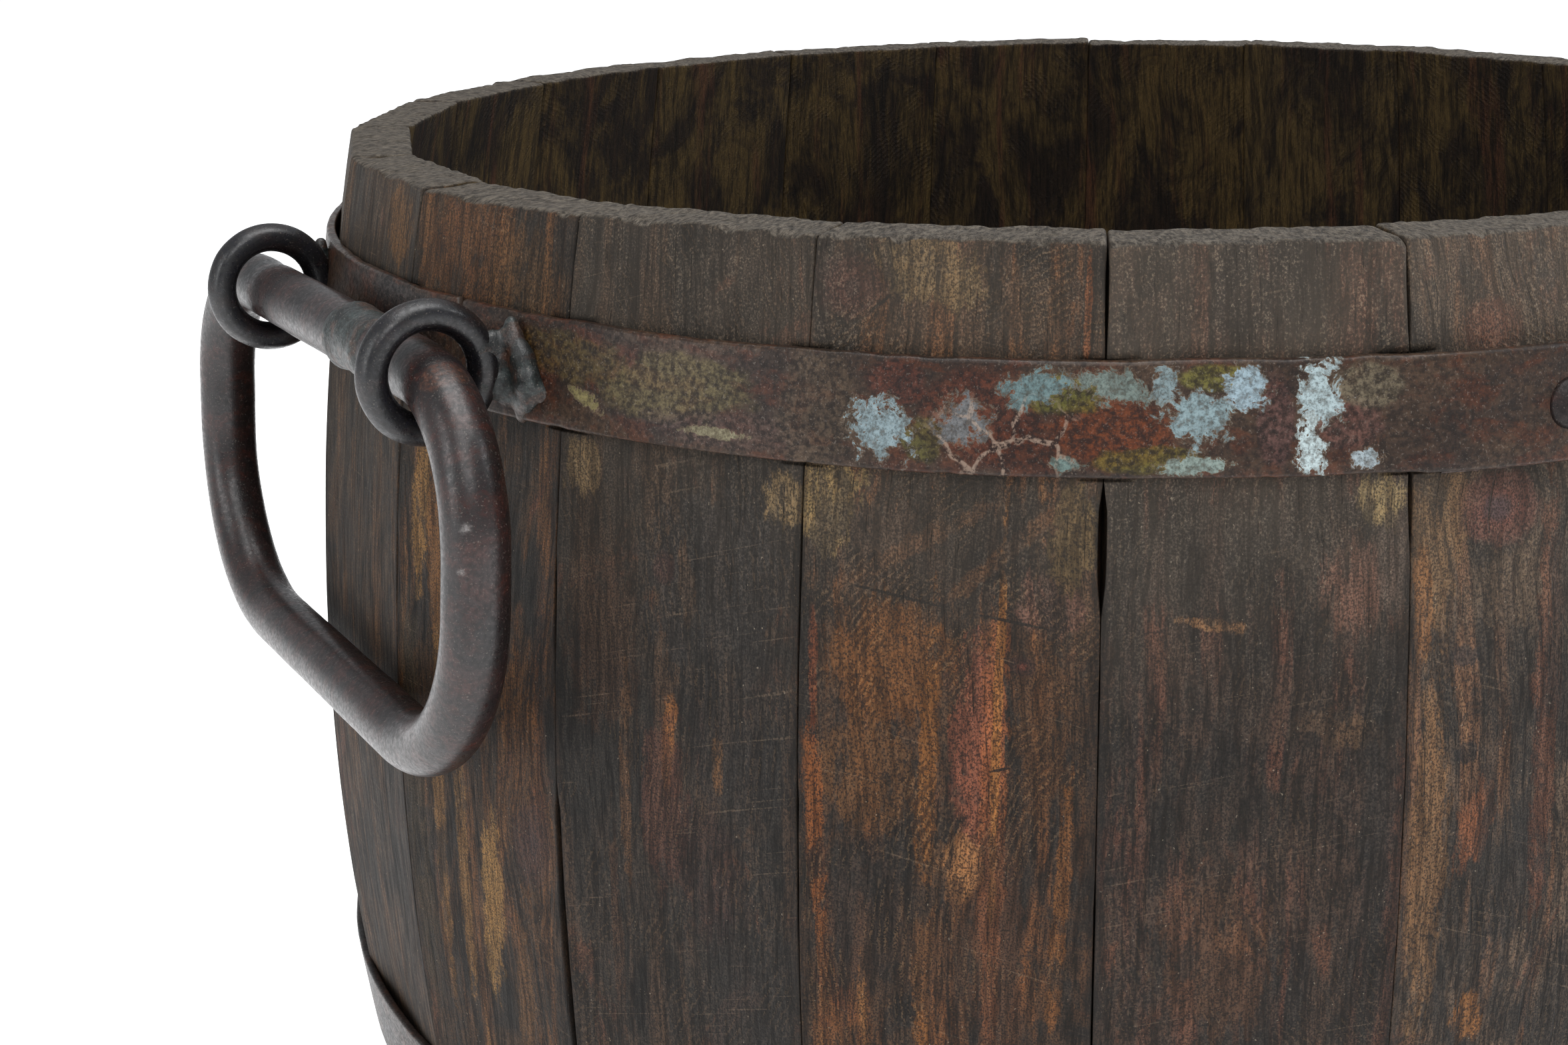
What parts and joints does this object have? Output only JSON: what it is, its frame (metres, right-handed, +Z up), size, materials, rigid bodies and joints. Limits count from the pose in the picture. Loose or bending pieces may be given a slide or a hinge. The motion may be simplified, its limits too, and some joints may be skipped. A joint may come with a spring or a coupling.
{
  "type": "timber tub with drop handles",
  "caption": "Coopered timber tub with a bulged wall of flat staves, riveted iron hoops and a hinged drop handle in welded eyes on each side.",
  "frame": {"origin": "middle of the tub's base, on the floor", "axes": "+Z up; the handles hang on -X and +X; the upper hoop's riveted joint is near -Y"},
  "size_m": [0.58, 0.5366, 0.35],
  "materials": {
    "stave_wood": "reclaimed, charred and stained dark brown, saw-marked, dusty near the rim",
    "bottom_wood": "dark, stained, unplaned",
    "dowel_wood": "plain hardwood",
    "hoop_iron": "old strap iron, rust brown and olive with flaked pale blue-grey patches",
    "rivet_iron": "dark forged heads",
    "eye_iron": "near-black satin iron",
    "weld_metal": "lumpy weld metal, teal grey with copper spots",
    "handle_iron": "burgundy-black satin steel with fine pale speckles"
  },
  "bodies": {
    "tub": {"stave_01": "stave_wood", "stave_02": "stave_wood", "stave_03": "stave_wood", "stave_04": "stave_wood", "stave_05": "stave_wood", "stave_06": "stave_wood", "stave_07": "stave_wood", "stave_08": "stave_wood", "stave_09": "stave_wood", "stave_10": "stave_wood", "stave_11": "stave_wood", "stave_12": "stave_wood", "stave_13": "stave_wood", "stave_14": "stave_wood", "stave_15": "stave_wood", "stave_16": "stave_wood", "stave_17": "stave_wood", "stave_18": "stave_wood", "stave_19": "stave_wood", "stave_20": "stave_wood", "stave_21": "stave_wood", "stave_22": "stave_wood", "bottom_board_1": "bottom_wood", "bottom_board_2": "bottom_wood", "bottom_board_3": "bottom_wood", "bottom_board_4": "bottom_wood", "bottom_board_5": "bottom_wood", "bottom_dowels": "dowel_wood", "upper_hoop": "hoop_iron", "lower_hoop": "hoop_iron", "upper_hoop_rivets": "rivet_iron", "lower_hoop_rivets": "rivet_iron", "left_front_eye": "eye_iron", "left_rear_eye": "eye_iron", "right_front_eye": "eye_iron", "right_rear_eye": "eye_iron", "left_front_eye_weld": "weld_metal", "left_rear_eye_weld": "weld_metal", "right_front_eye_weld": "weld_metal", "right_rear_eye_weld": "weld_metal"},
    "left_handle": {"left_handle": "handle_iron", "left_handle_weld": "weld_metal"},
    "right_handle": {"right_handle": "handle_iron", "right_handle_weld": "weld_metal"}
  },
  "joints": [
    {"name": "left_handle_swing", "type": "hinge", "parent": "tub", "child": "left_handle", "pos_m": [-0.27, 0, 0.3082], "axis": [0, 1, 0], "range_deg": [0, 216]},
    {"name": "right_handle_swing", "type": "hinge", "parent": "tub", "child": "right_handle", "pos_m": [0.27, 0, 0.3082], "axis": [0, -1, 0], "range_deg": [0, 216]}
  ]
}
